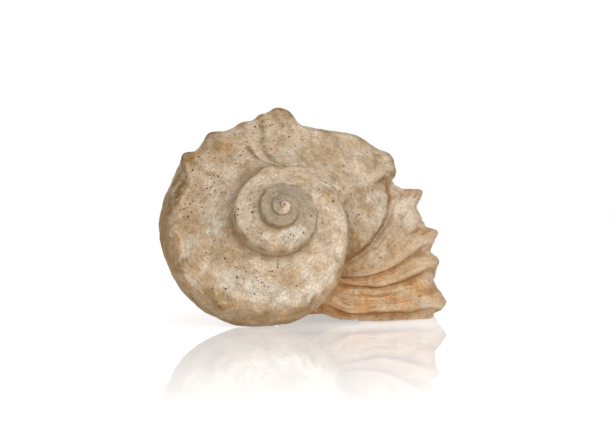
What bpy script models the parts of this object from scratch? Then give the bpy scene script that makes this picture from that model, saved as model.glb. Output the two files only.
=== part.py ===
"""Rapa whelk shell, bleached and beach worn, resting on its aperture.

One piece, grown as one: a low spire of five whorls, a wide shouldered body
whorl with blunt nodules, an outer lip that flares in four scaly folds, a short
canal bent upward, and a hollow mouth on the underside.

Metres in the scene, millimetres in the dimensions below. +Z is up and the
floor is Z = 0. The spire points to -Y and upward, the canal to +Y.
"""
import math

import bmesh
import bpy
import numpy as np

# ---------------------------------------------------------------- dimensions
MM = 0.001
APEX_HEIGHT = 41.2            # height of the spire tip over the floor
AXIS_TILT = math.radians(24)  # how far the spire tip is raised
AXIS_YAW = math.radians(7)    # how far the spire tip is turned to +X

# Radius of the shoulder against growth angle (degrees, 0 = level on the +X side,
# growing clockwise seen from the spire tip). One turn is 360.
SHOULDER_RADIUS = [
    (-1890, 0.05), (-1710, 0.4), (-1530, 1.1), (-1440, 2.0), (-1350, 2.6), (-1260, 3.2), (-1170, 4.1),
    (-1080, 4.7), (-990, 5.5), (-900, 6.5), (-810, 9.0), (-720, 10.9),
    (-630, 12.0), (-540, 13.8), (-450, 17.3), (-360, 21.4), (-345, 21.7), (-330, 22.6), (-315, 23.8),
    (-300, 24.8), (-285, 26.4), (-262, 27.9), (-225, 30.5), (-180, 33.0), (-150, 35.0), (-135, 36.8),
    (-90, 39.6), (-76, 41.0), (-65, 43.6), (-50, 50.7), (-40, 51.4), (-33, 49.3), (-29, 47.0),
    (-22, 48.6), (-12, 51.8), (1, 52.2), (10, 54.4), (24, 58.2), (40, 60.5), (80, 66.0),
]
SHOULDER_FALL = 0.80          # shoulder distance below the tip over its radius
ATTACH = 0.42                 # place on the older side where a new whorl attaches
LIP_ATTACH = (0.13, -10, 55)  # how much lower down the lip attaches, and over which growth angles
RAMP_ARCH = 0.03              # fullness of the sloping ramp
WHORL_GROWTH = 2.2            # size ratio of one whorl to the one before
BASE_SIZE = 49.0              # size of the base at the lip
BASE_SIZE_AT = 20.0

# Side and base under the shoulder: (place, radius ratio, depth ratio)
SIDE_FORM = [
    (0.00, 1.000, 0.00), (0.15, 1.040, 0.12), (0.30, 1.075, 0.27),
    (0.45, 1.060, 0.43), (0.60, 0.950, 0.61), (0.72, 0.770, 0.78),
    (0.82, 0.530, 0.91), (0.90, 0.340, 1.03), (1.00, 0.220, 1.20),
]
CANAL_DEPTH = 99.0            # how far the canal tip is from the spire tip, along the axis
CANAL_DEPTH_AT = 24.0
CANAL_GROWTH = 1.25           # the canal lengthens slowly, so its end wraps round level
CANAL_WRAP = (-235.0, -165.0) # growth angles over which that end begins
CANAL_FROM = 0.6              # part of the way down the side where the canal begins
CANAL_BEND = 0.0042           # upward bend of the canal, per mm
CANAL_BEND_FROM = 56.0
SIDE_BULGE = 0.065            # extra fullness of the side, on the older half of the body whorl
BULGE_SPAN = (-345, -295, -150, -95)    # growth angles where it comes and goes
BULGE_END = 0.8               # part of the way to the canal tip where it ends
SHOULDER_ROUND = (0.05, 0.12) # how far the worn shoulder is rounded, and over what width

# Blunt nodules on the shoulder: (growth angle, height, half width in degrees)
NODULES = [
    (-37, 1.8, 5), (-86, 6.1, 7), (-80, 1.2, 3), (-94, 1.8, 3), (-102, 2.5, 7), (-119, 3.4, 7),
    (-136, 3.9, 4), (-165, 0.6, 7), (-202, 1.9, 7), (-233, 2.6, 8), (-262, 1.2, 8),
    (-289, 1.4, 7), (-323, 1.4, 8), (-349, 0.9, 8), (-397, 1.5, 10),
    (-427, 1.5, 10), (-460, 1.4, 10),
]
NODULE_REACH = (0.26, 0.16)   # half width on the ramp and on the side, in places
NODULE_LEAN = 0.2             # part of its height by which a nodule leans to the tip
# Scaly folds of the lip: (where it starts to rise, where it breaks off, lift)
FOLDS = [(-29, -15.5, 0.4), (-12, -1.3, 1.6), (1, 7.8, 1.7), (11, 20.2, 1.8)]
# Blunt spikes of the folds on the shoulder: (growth angle, height, half width in degrees)
KNOBS = [(-19.6, 5.1, 2.6), (-4.4, 3.6, 2.3), (5.0, 2.9, 2.0), (18.0, 4.1, 2.6)]
KNOB_REACH = (0.20, 0.15)     # half width on the ramp and on the side, in places
FOLD_RISE = 1.4               # how late a fold rises
FOLD_DROP = 0.9               # degrees over which a fold falls away
FOLD_HANG = 1.1               # degrees by which its edge hangs over
FOLD_AT_SUTURE = 0.35         # part of its lift that a fold has at the suture
FOLD_FULL_FROM = 0.35         # place from which it has all of it
FOLD_FADE = (2.2, 0.15)       # how fast it fades down the side, and what is left
FOLD_DIP = (0.45, 0.12)       # part by which it is lower under its spike, and how wide that is
OLD_LIP = -31.5               # where growth once stopped and started again
OLD_LIP_WIDE = 5.0            # degrees over which the old lip rises
OLD_LIP_DROP = 0.7            # degrees over which it falls away
OLD_LIP_LIFT = 1.5
OLD_LIP_HANG = 1.2
OLD_LIP_SINK = 1.9            # how far the new growth starts under it
OLD_LIP_SINK_OUT = (0.5, 0.4, 1.0)   # part of that which is lost, and between which places
OLD_LIP_HANG_FROM = (0.05, 0.3)      # places between which its overhang begins
OLD_LIP_HEAL = (2.0, 10.0)           # degrees after it over which the new growth comes up
EDGE_WIDE = 1.0                      # half width of an overhanging edge, in degrees
CREASE = (-110, 2.2)          # a healed crease across the inner ramp
CREASE_DEEP = 1.0
CREASE_BEND = (13.0, 0.25, 0.3)      # degrees that it bends back, at which place, how wide
CREASE_END = (0.5, 0.8)       # places between which it fades
# How far the inner end of a growth line runs ahead of its shoulder end
LINE_SWEEP = [(-1500, 30), (-400, 42), (-60, 46), (-32, 54), (0, 36), (8, 32), (19, 34), (60, 36)]
LINE_BOW = 1.4
# The lip's inner end stops short of the floor: (place on the ramp, growth angle)
REACH_SEARCH = (-60, 120, 0.25)      # growth angles searched for the floor, and their step
LIP_REACH = [(0, 74), (0.1, 57), (0.2, 49.5), (0.3, 44.5), (0.4, 40.8), (0.5, 39), (1, 60)]
LIP_SETTLE = (17.0, 24.5)     # growth over which the lines turn into the lip
PAST_FADE = (0.3, 0.6)        # places between which growth past the lip stops turning back
LIP_DROP = (12.0, 24.5)       # growth over which its raised inner end comes down to the floor
LIP_ARCH = 1.2                # what it still stays above the floor
LIP_ARCH_FROM = 0.25          # place from which it comes down fully

WALL = 3.2                    # thickness of the wall
HOLLOW_BACK = 175.0           # how far the hollow runs back from the lip
COLUMELLA = [(14, 3.0), (30, 8.0), (45, 10.5), (60, 11.0), (72, 10.0), (84, 7.6),
             (93, 5.0), (97, 3.2), (98.5, 1.2)]
INNER_RELIEF = 0.6            # part of the outer relief that shows on the lining
INNER_LEAST = 1.0             # least radius of the lining
ROOT = (2.2, 1.3)             # how far the wall's inner edge reaches in and down
PLACE_STEP = 0.02             # step for the direction of the profile
WHORL_ROWS = [(0, 1, 22), (1, 2, 26)]    # places and number of rows between them
WALL_ROWS = [(0, 1, 26), (1, 2, 30)]
PILLAR_RINGS = 40
PILLAR_SIDE = 15.0            # degrees of one facet
FIRST_LINE = -1500.0          # the first growth line, in the spire tip
WHORL_STEP = 4.0              # degrees between sections of the solid whorls
WALL_STEP = 0.75
OVERLAP = 12.0                # degrees by which the wall runs into the solid whorls
BEYOND_LIP = 6.0              # growth past the floor, trimmed off level
GRAIN = 0.62                  # fineness at which the parts are fused
SOFTEN = 0.4
SOFTEN_TIMES = 2
FACES = 9300                  # facets of the finished solid, before it is trimmed
TRIM = 0.02                   # how near to the floor a corner counts as on it


def smooth_curve(x, knots):
    """Cubic through the knots that never overshoots."""
    xs = np.array([k[0] for k in knots], float)
    ys = np.array([k[1] for k in knots], float)
    d = np.diff(ys) / np.diff(xs)
    m = np.empty_like(ys)
    both = d[:-1] * d[1:]
    m[1:-1] = np.where(both > 0, 2 * both / (d[:-1] + d[1:] + 1e-12), 0.0)
    m[0] = d[0]
    m[-1] = d[-1]
    x = np.clip(x, xs[0], xs[-1])
    i = np.clip(np.searchsorted(xs, x, side="right") - 1, 0, len(xs) - 2)
    h = xs[i + 1] - xs[i]
    u = (x - xs[i]) / h
    return ((2 * u**3 - 3 * u**2 + 1) * ys[i] + (u**3 - 2 * u**2 + u) * h * m[i]
            + (3 * u**2 - 2 * u**3) * ys[i + 1] + (u**3 - u**2) * h * m[i + 1])


def step(x, a, b):
    u = np.clip((x - a) / (b - a), 0.0, 1.0)
    return u * u * (3 - 2 * u)


def hump(x, middle, width):
    return np.exp(-((x - middle) / width) ** 2)


LOG_RADIUS = [(k[0], math.log(k[1])) for k in SHOULDER_RADIUS]


def shoulder_radius(phi):
    return np.exp(smooth_curve(phi, LOG_RADIUS))


def side_profile(phi, y):
    """Radius and depth below the shoulder; y is 0 at the shoulder, 1 at the canal tip."""
    big = shoulder_radius(phi)
    fall = SHOULDER_FALL * big
    base = BASE_SIZE * WHORL_GROWTH ** ((phi - BASE_SIZE_AT) / 360.0)
    ratio = smooth_curve(y, [(k[0], k[1]) for k in SIDE_FORM])
    fuller = step(phi, *BULGE_SPAN[:2]) * (1 - step(phi, *BULGE_SPAN[2:]))
    ratio = ratio + SIDE_BULGE * fuller * np.sin(math.pi * np.clip(y / BULGE_END, 0, 1))
    depth = smooth_curve(y, [(k[0], k[2]) for k in SIDE_FORM])
    tip = CANAL_DEPTH * CANAL_GROWTH ** ((phi - CANAL_DEPTH_AT) / 360.0)
    own = (SHOULDER_FALL + SIDE_FORM[-1][2]) * base
    longer = (tip - own) * step(phi, *CANAL_WRAP) * step(y, CANAL_FROM, 1.0)
    return (ratio * (base + (big - base) * (1 - y)),
            fall + (SHOULDER_FALL * base - fall) * y + depth * base + longer)


def sharp_profile(phi, s):
    """Radius and depth at growth angle phi; s is 0 suture, 1 shoulder, 2 canal tip."""
    lower, since, until = LIP_ATTACH
    start_r, start_a = side_profile(phi - 360, ATTACH + lower * step(phi, since, until) + 0.0 * s)
    big = shoulder_radius(phi)
    x = np.clip(s, 0, 1)
    ramp_r = start_r + (big - start_r) * x
    ramp_a = (start_a + (SHOULDER_FALL * big - start_a) * x
              + RAMP_ARCH * big * np.sin(math.pi * x))
    side_r, side_a = side_profile(phi, np.clip(s - 1, 0, 1))
    return np.where(s <= 1, ramp_r, side_r), np.where(s <= 1, ramp_a, side_a)


def profile(phi, s):
    """The same with the shoulder rubbed round."""
    reach = SHOULDER_ROUND[0] * hump(s, 1.0, SHOULDER_ROUND[1])
    before_r, before_a = sharp_profile(phi, s - reach)
    here_r, here_a = sharp_profile(phi, s)
    after_r, after_a = sharp_profile(phi, s + reach)
    return (before_r + 2 * here_r + after_r) / 4, (before_a + 2 * here_a + after_a) / 4


AXIS = np.array([-math.sin(AXIS_YAW) * math.cos(AXIS_TILT),
                 math.cos(AXIS_YAW) * math.cos(AXIS_TILT), -math.sin(AXIS_TILT)])
LEVEL = np.array([math.cos(AXIS_YAW), math.sin(AXIS_YAW), 0.0])
DOWN = np.cross(AXIS, LEVEL)
TIP = np.array([0.0, 0.0, APEX_HEIGHT])


def place(phi, r, a, drop=0.0):
    """Point in the room, in millimetres."""
    turn = np.radians(phi)
    bend = CANAL_BEND * np.clip(a - CANAL_BEND_FROM, 0, None) ** 2
    down = r * np.sin(turn) - bend
    level = r * np.cos(turn)
    point = TIP + a[..., None] * AXIS + level[..., None] * LEVEL + down[..., None] * DOWN
    point[..., 2] -= drop
    return point


def lip_angles(s):
    """Growth angle at which each row of the profile meets the floor, and the height left there."""
    out = []
    for v in s:
        phi = np.arange(*REACH_SEARCH)
        z = place(phi, *sharp_profile(phi, np.full_like(phi, v)))[:, 2]
        reach = smooth_curve(np.array([v]), LIP_REACH)[0]
        meets = np.where((z[:-1] > 0) & (z[1:] <= 0))[0]
        if len(meets):
            i = meets[0]
            reach = min(phi[i] + REACH_SEARCH[2] * z[i] / (z[i] - z[i + 1]), reach)
        out.append((reach, np.interp(reach, phi, z)))
    return np.array(out).T


def line_angle(t, s, lip):
    """Growth angle on growth line t at place s."""
    x = np.clip(s, 0, 1)
    sweep = smooth_curve(t, LINE_SWEEP) * (1 - x) ** LINE_BOW
    w = step(t, *LIP_SETTLE)
    past = np.clip(t - LIP_SETTLE[1], 0, None) * (1 - step(x, *PAST_FADE))
    return t + sweep * (1 - w) + (lip - LIP_SETTLE[1]) * w - past


def relief(t, s, phi):
    """Extra radius, lift and overhang in degrees of nodules, folds and steps."""
    out = np.zeros_like(phi)
    lift = np.zeros_like(phi)
    hang = np.zeros_like(phi)
    near = hump(s, 1.0, np.where(s < 1, *NODULE_REACH))
    for at, high, wide in NODULES:
        out = out + high * near * hump(phi, at, wide)
    near = hump(s, 1.0, np.where(s < 1, *KNOB_REACH))
    for at, high, wide in KNOBS:
        out = out + high * near * hump(phi, at, wide)
    inner = FOLD_AT_SUTURE + (1 - FOLD_AT_SUTURE) * step(s, 0.0, FOLD_FULL_FROM)
    outer = np.clip(1 - (s - 1) * FOLD_FADE[0], FOLD_FADE[1], 1)
    spread = np.where(s < 1, inner, outer) * (1 - FOLD_DIP[0] * hump(s, 1.0, FOLD_DIP[1]))
    for start, crest, high in FOLDS:
        falling = 1 - step(t, crest, crest + FOLD_DROP)
        lift = lift + high * np.clip((t - start) / (crest - start), 0, 1) ** FOLD_RISE * falling * spread
        hang = hang + FOLD_HANG * hump(t, crest, EDGE_WIDE) * spread * (high > 1)
    falling = 1 - step(t, OLD_LIP, OLD_LIP + OLD_LIP_DROP)
    old = np.where(t <= OLD_LIP, hump(t, OLD_LIP, OLD_LIP_WIDE), falling)
    lift = lift + OLD_LIP_LIFT * old * spread
    hang = hang + OLD_LIP_HANG * hump(t, OLD_LIP, EDGE_WIDE) * spread * step(s, *OLD_LIP_HANG_FROM)
    sink = (1 - falling) * (1 - step(t - OLD_LIP, *OLD_LIP_HEAL))
    lost, since, until = OLD_LIP_SINK_OUT
    lift = lift - OLD_LIP_SINK * sink * np.where(s < 1, 1 - lost * step(s, since, until), spread)
    bend, middle, wide = CREASE_BEND
    at = CREASE[0] - bend * hump(s, middle, wide)
    groove = hump(t, at, CREASE[1]) * (1 - step(s, *CREASE_END)) * (s < 1)
    return out, lift - CREASE_DEEP * groove, hang


def surface(t, s, lip, inset=0.0):
    """Outer surface, or the inner one when inset by the wall: angle, radius, depth and drop."""
    angle, left = lip
    phi = line_angle(t, s, angle)
    r, a = profile(phi, s)
    out, lift, hang = relief(t, s, phi)
    r0, a0 = profile(phi, np.clip(s - PLACE_STEP, 0, 2))
    r1, a1 = profile(phi, np.clip(s + PLACE_STEP, 0, 2))
    tr, ta = r1 - r0, a1 - a0
    size = np.hypot(tr, ta) + 1e-9
    # on the ramp the free side faces the tip, on the side it faces outward
    push = lift - inset
    if inset:
        out = out * INNER_RELIEF
        hang = 0.0 * hang
    drop = np.clip(left - LIP_ARCH, 0, None) * step(t, *LIP_DROP) * step(s, 0.0, LIP_ARCH_FROM)
    return phi + hang, r + out + ta / size * push, a - tr / size * push - NODULE_LEAN * out, drop


def new_mesh(name, verts, faces):
    mesh = bpy.data.meshes.new(name)
    mesh.from_pydata([tuple(v) for v in verts], [], faces)
    mesh.validate()
    return mesh


def tube(points, name):
    """Closed solid from a grid of sections (columns, rows, 3)."""
    cols, rows, _ = points.shape
    verts = points.reshape(-1, 3)
    faces = []
    for i in range(cols - 1):
        for j in range(rows):
            k = (j + 1) % rows
            faces.append((i * rows + j, i * rows + k, (i + 1) * rows + k, (i + 1) * rows + j))
    faces.append(tuple(range(rows - 1, -1, -1)))
    faces.append(tuple((cols - 1) * rows + j for j in range(rows)))
    return new_mesh(name, verts, faces)


def spread_rows(parts):
    return np.concatenate([np.linspace(a, b, n, endpoint=False) for a, b, n in parts])


def whorl_solid(t0, t1, step_deg):
    """Filled whorls: every section runs from the axis out to the surface and back."""
    s = np.concatenate([spread_rows(WHORL_ROWS), [2.0]])
    lip = lip_angles(s)
    sections = []
    for t in np.arange(t0, t1 + step_deg * 0.5, step_deg):
        phi, r, a, drop = surface(np.full_like(s, t), s, lip)
        first = place(phi[:1], np.array([0.0]), a[:1])
        last = place(phi[-1:], np.array([0.0]), a[-1:])
        sections.append(np.concatenate([first, place(phi, r, a, drop), last]))
    return tube(np.array(sections), "whorls")


def wall_solid(t0, t1, step_deg):
    """The last part of the body whorl as a wall around the hollow."""
    s = np.concatenate([spread_rows(WALL_ROWS), [2.0]])
    lip = lip_angles(s)
    sections = []
    for t in np.arange(t0, t1 + step_deg * 0.5, step_deg):
        tt = np.full_like(s, t)
        phi, r, a, drop = surface(tt, s, lip)
        phi2, r2, a2, drop2 = surface(tt, s, lip, WALL)
        outer = place(phi, r, a, drop)
        inner = place(phi2, np.maximum(r2, INNER_LEAST), a2, drop2)
        root = place(phi[:1], r[:1] - ROOT[0], a[:1] + ROOT[1])
        sections.append(np.concatenate([root, outer, inner[::-1]]))
    return tube(np.array(sections), "wall")


def pillar():
    a = np.linspace(COLUMELLA[0][0], COLUMELLA[-1][0], PILLAR_RINGS)
    r = smooth_curve(a, COLUMELLA)
    phi = np.arange(0, 360, PILLAR_SIDE)
    rings = [place(phi, np.full_like(phi, rr), np.full_like(phi, aa)) for aa, rr in zip(a, r)]
    return tube(np.array(rings), "pillar")


def loose(mesh, parts):
    """Add a closed solid, faces outward, to the parts that are to be fused."""
    bm = bmesh.new()
    bm.from_mesh(mesh)
    bmesh.ops.recalc_face_normals(bm, faces=bm.faces)
    bm.to_mesh(mesh)
    bm.free()
    parts.from_mesh(mesh)


def worked(obj):
    """The mesh of an object with its modifiers carried out."""
    scene_state = bpy.context.evaluated_depsgraph_get()
    mesh = bpy.data.meshes.new_from_object(obj.evaluated_get(scene_state))
    obj.modifiers.clear()
    obj.data = mesh
    return mesh


for old_object in list(bpy.data.objects):
    bpy.data.objects.remove(old_object)

# the whorls, the wall round the hollow and the pillar, fused into one solid
last = LIP_SETTLE[1] + BEYOND_LIP
parts = bmesh.new()
loose(whorl_solid(FIRST_LINE, last - HOLLOW_BACK, WHORL_STEP), parts)
loose(wall_solid(last - HOLLOW_BACK - OVERLAP, last, WALL_STEP), parts)
loose(pillar(), parts)
raw = bpy.data.meshes.new("shell")
parts.to_mesh(raw)
parts.free()

shell = bpy.data.objects.new("shell", raw)
bpy.context.collection.objects.link(shell)
fuse = shell.modifiers.new("fuse", "REMESH")
fuse.mode = "VOXEL"
fuse.voxel_size = GRAIN
soften = shell.modifiers.new("soften", "SMOOTH")
soften.factor = SOFTEN
soften.iterations = SOFTEN_TIMES
fused = worked(shell)

thin = shell.modifiers.new("thin", "DECIMATE")
thin.ratio = FACES / (2.0 * len(fused.polygons))
thinned = worked(shell)

# the worn resting faces lie in the floor plane
bm = bmesh.new()
bm.from_mesh(thinned)
everything = bm.verts[:] + bm.edges[:] + bm.faces[:]
cut = bmesh.ops.bisect_plane(bm, geom=everything, dist=TRIM, plane_co=(0, 0, 0),
                             plane_no=(0, 0, 1), clear_inner=True)
rim = [e for e in cut["geom_cut"] if isinstance(e, bmesh.types.BMEdge)]
bmesh.ops.triangle_fill(bm, use_beauty=True, edges=rim)
bmesh.ops.triangulate(bm, faces=bm.faces)
bmesh.ops.recalc_face_normals(bm, faces=bm.faces)

low = np.min([v.co[:] for v in bm.verts], axis=0)
high = np.max([v.co[:] for v in bm.verts], axis=0)
middle = (low + high) / 2
for v in bm.verts:
    v.co = ((v.co.x - middle[0]) * MM, (v.co.y - middle[1]) * MM, v.co.z * MM)
bm.to_mesh(thinned)
bm.free()
print("middle", middle, "size", high - low, "facets", len(thinned.polygons))

surface_look = bpy.data.materials.new("shell")
surface_look.use_nodes = True
principled = surface_look.node_tree.nodes["Principled BSDF"]
principled.inputs["Base Color"].default_value = (0.52, 0.40, 0.28, 1.0)
principled.inputs["Roughness"].default_value = 0.7
thinned.materials.clear()
thinned.materials.append(surface_look)
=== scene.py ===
# %% [markdown]
# # A beach-worn rapa whelk shell
#
# A rapa whelk is a thick, wide sea snail. The shell lies on its mouth, with its low spire turned
# towards us and its short canal pointing away. Years on a beach have bleached it to chalky tan,
# rubbed its ribs blunt and filled its hollows with dirt, and only the lip is still warm orange.
#
# The lesson builds it the way the animal did: one curve says how fast the shell grows, one
# profile says what a growth line looks like, and the two together sweep out the whole surface.

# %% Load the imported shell
import math

import bpy
import numpy as np
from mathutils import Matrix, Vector


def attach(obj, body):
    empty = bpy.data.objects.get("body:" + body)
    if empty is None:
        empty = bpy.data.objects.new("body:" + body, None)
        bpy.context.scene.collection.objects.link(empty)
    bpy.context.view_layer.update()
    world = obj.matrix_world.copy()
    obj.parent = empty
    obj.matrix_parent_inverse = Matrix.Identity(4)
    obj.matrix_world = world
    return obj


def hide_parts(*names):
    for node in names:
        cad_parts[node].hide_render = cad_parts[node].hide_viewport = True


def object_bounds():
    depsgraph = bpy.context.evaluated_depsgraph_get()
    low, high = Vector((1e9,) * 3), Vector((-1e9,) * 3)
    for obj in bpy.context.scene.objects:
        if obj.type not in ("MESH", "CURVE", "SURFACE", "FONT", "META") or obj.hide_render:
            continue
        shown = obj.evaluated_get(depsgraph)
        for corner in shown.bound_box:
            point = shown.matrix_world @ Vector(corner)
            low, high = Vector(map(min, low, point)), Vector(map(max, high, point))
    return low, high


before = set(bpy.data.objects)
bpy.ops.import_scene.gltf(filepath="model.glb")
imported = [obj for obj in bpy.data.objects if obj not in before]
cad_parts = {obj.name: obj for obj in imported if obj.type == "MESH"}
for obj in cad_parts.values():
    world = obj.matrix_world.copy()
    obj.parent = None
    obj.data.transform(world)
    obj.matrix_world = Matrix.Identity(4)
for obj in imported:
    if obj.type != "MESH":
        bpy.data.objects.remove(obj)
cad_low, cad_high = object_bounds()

MM = 0.001
cad_size = [(b - a) / MM for a, b in zip(cad_low, cad_high)]
print("the packed shell measures", [round(v, 1) for v in cad_size], "mm")

# %% [markdown]
# ## Where the spire tip is
#
# Growth is easiest to describe round the shell's own axis, which starts at the spire tip. The
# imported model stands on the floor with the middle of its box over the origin, so everything
# that the growth curves give is shifted by the same amount.

# %% The shell's own axis
TIP_HEIGHT = 41.2                 # mm, spire tip over the floor
TIP_FROM_MIDDLE = (-6.1769, -46.7343)   # mm, spire tip seen from the middle of the box
AXIS_TILT = math.radians(24)      # how far the spire tip is raised
AXIS_YAW = math.radians(7)        # how far it is turned to +X

AXIS = np.array([-math.sin(AXIS_YAW) * math.cos(AXIS_TILT),
                 math.cos(AXIS_YAW) * math.cos(AXIS_TILT), -math.sin(AXIS_TILT)])
LEVEL = np.array([math.cos(AXIS_YAW), math.sin(AXIS_YAW), 0.0])
DOWN = np.cross(AXIS, LEVEL)
TIP = np.array([*TIP_FROM_MIDDLE, TIP_HEIGHT])
print("axis", AXIS.round(3), "spire tip", TIP, "mm")

# %% [markdown]
# ## Camera
#
# A portrait of a shell this size is taken from about arm's length with a long lens, almost
# level with it. The lens then keeps the near folds and the far canal in true proportion. The
# camera looks straight along +Y, a little down, at a point just beside the spire tip.

# %% Camera
CAMERA_RISE = math.radians(4)     # how far the camera looks down
CAMERA_DISTANCE = 650.0           # mm
VIEW_WIDTH = 191.9                # mm that the camera takes in at the spire tip
AIM_SIDE = 6.77                   # mm to the right of the spire tip
AIM_DROP = 3.01                   # mm below it

look = np.array([0.0, math.cos(CAMERA_RISE), -math.sin(CAMERA_RISE)])
up = np.array([0.0, math.sin(CAMERA_RISE), math.cos(CAMERA_RISE)])
aim = TIP + AIM_SIDE * np.array([1.0, 0.0, 0.0]) - AIM_DROP * up

camera_data = bpy.data.cameras.new("camera")
camera_data.sensor_width = 36.0
camera_data.lens = camera_data.sensor_width * CAMERA_DISTANCE / VIEW_WIDTH
camera_data.clip_start = 0.01
camera_data.clip_end = 20.0
camera = bpy.data.objects.new("camera", camera_data)
camera.location = Vector(aim - CAMERA_DISTANCE * look) * MM
camera.rotation_mode = "QUATERNION"
camera.rotation_quaternion = Vector(look).to_track_quat("-Z", "Y")
bpy.context.scene.collection.objects.link(camera)
bpy.context.scene.camera = camera
print("lens", round(camera_data.lens, 1), "mm")

# %% [markdown]
# ## A helper for materials
#
# Every finish here is a small network of nodes. Writing `wire("Math", ...)` in one line keeps
# such a network as readable as a formula: what goes in stands beside the node. All helpers
# write in the network called `tree`, which is that of the finish begun last.


# %% Node helper
def wire(kind, inputs=(), **settings):
    """Add a node, set its options, and connect or set its inputs by name or number."""
    node = tree.nodes.new("ShaderNode" + kind)
    for name, value in settings.items():
        setattr(node, name, value)
    for name, value in dict(inputs).items():
        socket = node.inputs[name]
        if isinstance(value, bpy.types.NodeSocket):
            tree.links.new(value, socket)
        else:
            socket.default_value = value
    return node


def empty_material(name):
    material = bpy.data.materials.new(name)
    material.use_nodes = True
    material.node_tree.nodes.clear()
    return material, material.node_tree


def formula(operation, a, b):
    """One operation on two values, each a plain number or another node's output."""
    return wire("Math", {0: a, 1: b}, operation=operation).outputs[0]


def blended(amount, first, second, kind="MIX"):
    """Colour between two colours, by an amount from 0 to 1."""
    first, second = [(*c, 1.0) if isinstance(c, tuple) else c for c in (first, second)]
    # of a Mix node's sockets, 0 is the amount, and 6 and 7 are the two colours
    sockets = {0: amount, 6: first, 7: second}
    return wire("Mix", sockets, data_type="RGBA", blend_type=kind).outputs[2]


def ramped(value, low, high, to_low=0.0, to_high=1.0):
    """Smooth change from to_low to to_high while the value goes from low to high."""
    limits = {"From Min": low, "From Max": high, "To Min": to_low, "To Max": to_high}
    node = wire("MapRange", {"Value": value, **limits}, interpolation_type="SMOOTHSTEP")
    return node.outputs["Result"]


# %% [markdown]
# ## Floor, backdrop and light
#
# The shell sits on a glossy white table in a white room. Two things make that look: a floor
# that is bright enough to vanish into the background, and a mirror image that is clear at the
# shell's foot and gone a hand's breadth in front of it.

# %% Floor
FLOOR_HALF = 3000.0               # mm
FLOOR_DROP = 0.05                 # mm below the shell's foot, so that the two share no surface

floor_mesh = bpy.data.meshes.new("floor")
corners = [(x * FLOOR_HALF * MM, y * FLOOR_HALF * MM, 0) for x, y in ((-1, -1), (1, -1), (1, 1), (-1, 1))]
floor_mesh.from_pydata(corners, [], [(0, 1, 2, 3)])
floor = bpy.data.objects.new("floor", floor_mesh)
floor.location.z = -FLOOR_DROP * MM
bpy.context.scene.collection.objects.link(floor)
print("floor", 2 * FLOOR_HALF * MM, "m wide")

# %% [markdown]
# ## The white table
#
# A plain glossy white would show a horizon and mirror the whole shell. So the table shows its
# white to the camera directly, mixes in a part that can still take a shadow, mirrors less and
# less the further it comes forward, and goes plain white far away. To all other light it is
# pale and matt, and throws some light up under the shell.

# %% White table
WHITE = (1, 1, 1, 1)
FLOOR_GLOW = 0.66                 # white that the floor keeps in the deepest shadow
FLOOR_LIT = 0.70                  # white that the lamps add
FLOOR_GREY = 0.82                 # white of the table as the shell sees it
FLOOR_BOUNCE = 0.27               # light that the table throws up under the shell
MIRROR = 0.52                     # strength of the mirror image in front of the shell
MIRROR_BLUR = 0.03                # roughness of the polish
MIRROR_NEAR = (-22.0, -48.0)      # mm, it is weaker right under the shell and full from here
MIRROR_UNDER = 0.64               # what is left of it under the shell
MIRROR_FAR = (-48.0, -228.0)      # mm, from where it fades and where it has gone
MIRROR_FADE = 1.7                 # how late it fades
WHITE_FROM = 220.0                # mm from the shell, where the table starts to go plain white
WHITE_BY = 520.0                  # mm, where it is as white as the room


def matt(grey):
    return wire("BsdfDiffuse", {"Color": (grey, grey, grey, 1)}).outputs[0]


def glowing(strength):
    return wire("Emission", {"Color": WHITE, "Strength": strength}).outputs[0]


def added(first, second):
    return wire("AddShader", {0: first, 1: second}).outputs[0]


def between(amount, first, second):
    """Surface between two surfaces, by an amount from 0 to 1."""
    return wire("MixShader", {0: amount, 1: first, 2: second}).outputs[0]


floor_finish, tree = empty_material("white table")
spot = wire("TexCoord").outputs["Object"]
forward = wire("SeparateXYZ", {0: spot}).outputs["Y"]
faded = wire("MapRange", {"Value": forward, "From Min": MIRROR_FAR[0] * MM,
                          "From Max": MIRROR_FAR[1] * MM}).outputs["Result"]
kept = formula("SUBTRACT", 1.0, formula("POWER", faded, MIRROR_FADE))
under = ramped(forward, MIRROR_NEAR[1] * MM, MIRROR_NEAR[0] * MM, MIRROR, MIRROR * MIRROR_UNDER)
shine = wire("BsdfGlossy", {"Color": WHITE, "Roughness": MIRROR_BLUR}).outputs[0]
white = added(matt(FLOOR_LIT), glowing(FLOOR_GLOW))
near = between(formula("MULTIPLY", kept, under), white, shine)
distance = wire("VectorMath", {0: spot}, operation="LENGTH").outputs["Value"]
gone = ramped(distance, WHITE_FROM * MM, WHITE_BY * MM)
seen = between(gone, near, glowing(1.0))
plain = added(matt(FLOOR_GREY), glowing(FLOOR_BOUNCE))
from_camera = wire("LightPath").outputs["Is Camera Ray"]
wire("OutputMaterial", {"Surface": between(from_camera, plain, seen)})
floor_mesh.materials.append(floor_finish)
print("white table", len(tree.nodes), "nodes")

# %% [markdown]
# ## Room and lamps
#
# A white room lights the shell evenly, and three soft lamps shape it: a key low on the right, a
# fill high on the left and a weak one from above. The room shows its full white to the camera
# and in mirrors, and a calmer strength to the shell.

# %% Room and lamps
ROOM_LIGHT = 0.43                 # strength of the white room on the shell
LAMPS_AIM = 35                    # mm over the floor, where all lamps point
LAMPS = [                         # name, place in mm, size in mm, watts
    ("key", (330, -560, 90), 360, 2.6),
    ("fill", (-360, -520, 300), 420, 0.9),
    ("top", (80, 60, 620), 420, 0.6),
]

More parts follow.
